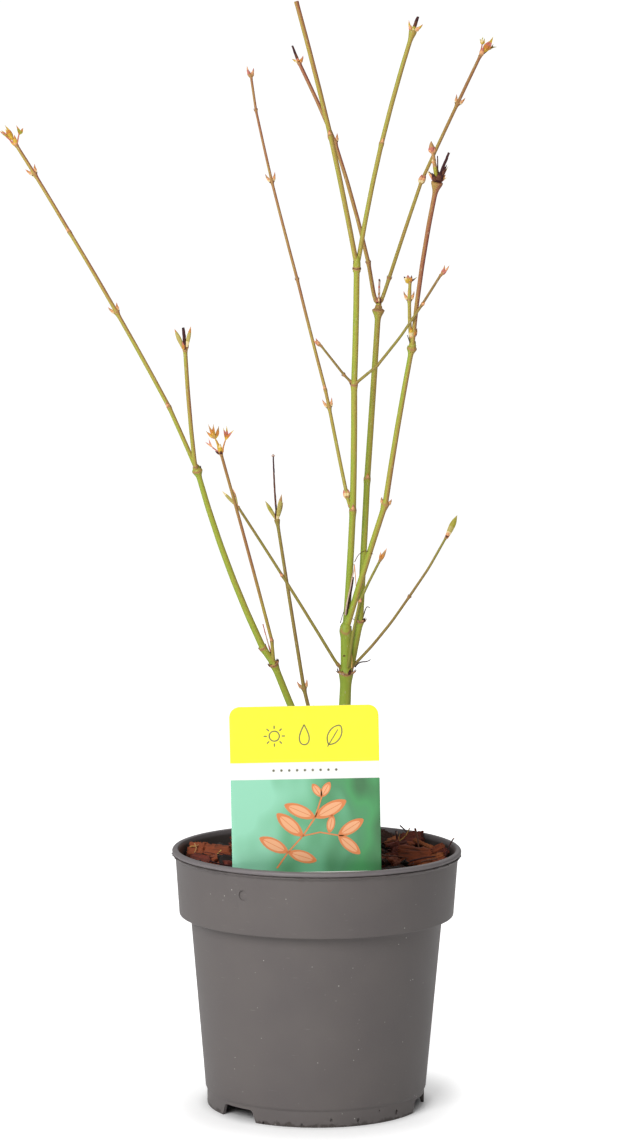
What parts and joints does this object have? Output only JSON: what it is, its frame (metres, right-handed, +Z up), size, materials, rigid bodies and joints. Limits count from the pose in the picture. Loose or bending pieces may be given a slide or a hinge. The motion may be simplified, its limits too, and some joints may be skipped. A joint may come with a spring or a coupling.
{
  "type": "young bare maple shrub in a nursery pot",
  "caption": "Leafless young Japanese maple with slender forked stems and opening buds, in a round nursery pot with bark mulch and a blank plant label.",
  "frame": {"origin": "centre of the pot's flat underside, on the floor", "axes": "+Z up along the pot's axis; -Y is the front, where the label stands"},
  "size_m": [0.2208, 0.13, 0.4916],
  "materials": {
    "pot_plastic": "moulded taupe-grey polypropylene, satin, with fine scuffs and dust",
    "growing_medium": "dark moist peat and composted bark",
    "mulch_bark": "torn rust-brown pine bark chips",
    "label_card": null,
    "stem_bark": "smooth young bark, fresh green turning olive and brown, with ringed nodes",
    "twig_bark": "smooth thin bark, olive to red-brown, with peach and tan buds"
  },
  "bodies": {
    "root": {"pot": "pot_plastic", "growing_medium": "growing_medium", "bark_mulch": "mulch_bark", "plant_label": "label_card", "trunk": "stem_bark", "bough_leader": "stem_bark", "bough_right": "stem_bark", "bough_back": "stem_bark", "bough_left": "stem_bark", "crown_leader": "twig_bark", "crown_back": "twig_bark", "crown_right": "twig_bark", "crown_left": "twig_bark", "twig_left_front": "twig_bark", "twig_low_back": "twig_bark", "twig_fork_front": "twig_bark", "twig_fork_left": "twig_bark", "twig_fork_right": "twig_bark", "twig_mid_right": "twig_bark", "twig_mid_left": "twig_bark", "twig_tall_left": "twig_bark"}
  },
  "joints": []
}
